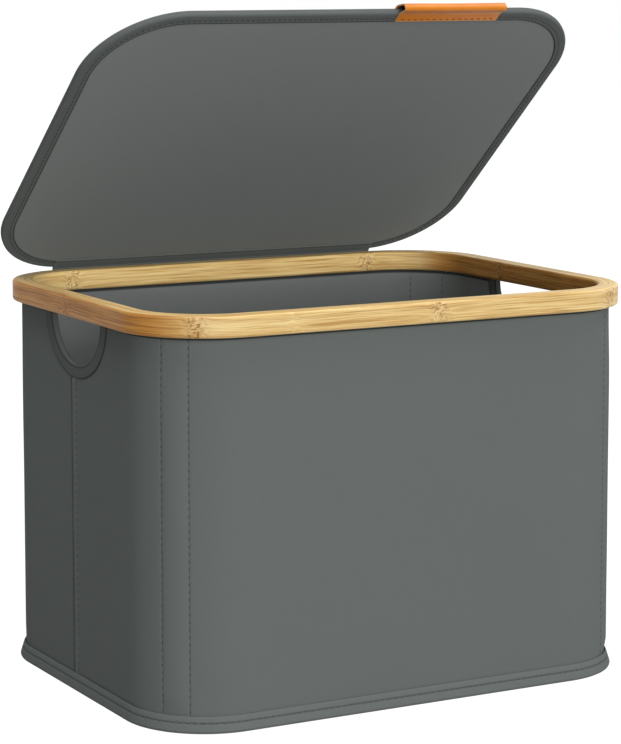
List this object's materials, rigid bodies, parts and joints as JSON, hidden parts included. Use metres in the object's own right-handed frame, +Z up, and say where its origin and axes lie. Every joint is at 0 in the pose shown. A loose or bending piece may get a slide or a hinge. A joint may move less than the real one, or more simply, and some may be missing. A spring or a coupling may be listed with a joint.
{
  "type": "laundry hamper",
  "caption": "Rectangular cloth-covered box with rounded corners, a bamboo rim, two hand holes and a flat lid on a cloth hinge with a leather pull tab.",
  "frame": {"origin": "centre of the underside, on the floor", "axes": "+X along the front to the right, +Y from the front to the hinge side, +Z up"},
  "size_m": [0.4818, 0.385, 0.5964],
  "materials": {
    "bamboo": "clear-lacquered laminated bamboo, satin",
    "outer_cloth": "fine plain-weave polyester, slate grey",
    "lining_cloth": "fine plain-weave lining, slate grey",
    "binding_tape": "folded binding tape, slate grey",
    "tan_leather": "smooth tan leather, stitched",
    "stiff_board": "pressed fibre board, raw"
  },
  "bodies": {
    "basket": {"bamboo_rim": "bamboo", "front_cover": "outer_cloth", "back_cover": "outer_cloth", "front_lining": "lining_cloth", "back_lining": "lining_cloth", "front_board": "stiff_board", "back_board": "stiff_board", "left_board": "stiff_board", "right_board": "stiff_board", "base_cover": "outer_cloth", "base_lining": "lining_cloth", "base_binding": "binding_tape", "bottom_board": "stiff_board", "bottom_board_cover": "lining_cloth", "left_hole_binding": "binding_tape", "right_hole_binding": "binding_tape", "hinge_strip": "outer_cloth"},
    "lid": {"lid_board": "stiff_board", "lid_top_cover": "outer_cloth", "lid_inner_cover": "lining_cloth", "lid_binding": "binding_tape", "pull_tab": "tan_leather"}
  },
  "joints": [
    {"name": "lid_hinge", "type": "hinge", "parent": "basket", "child": "lid", "pos_m": [0, 0.1892, 0.3341], "axis": [-1, 0, 0], "range_deg": [-39.8, 165], "deforming": ["hinge_strip"]}
  ]
}
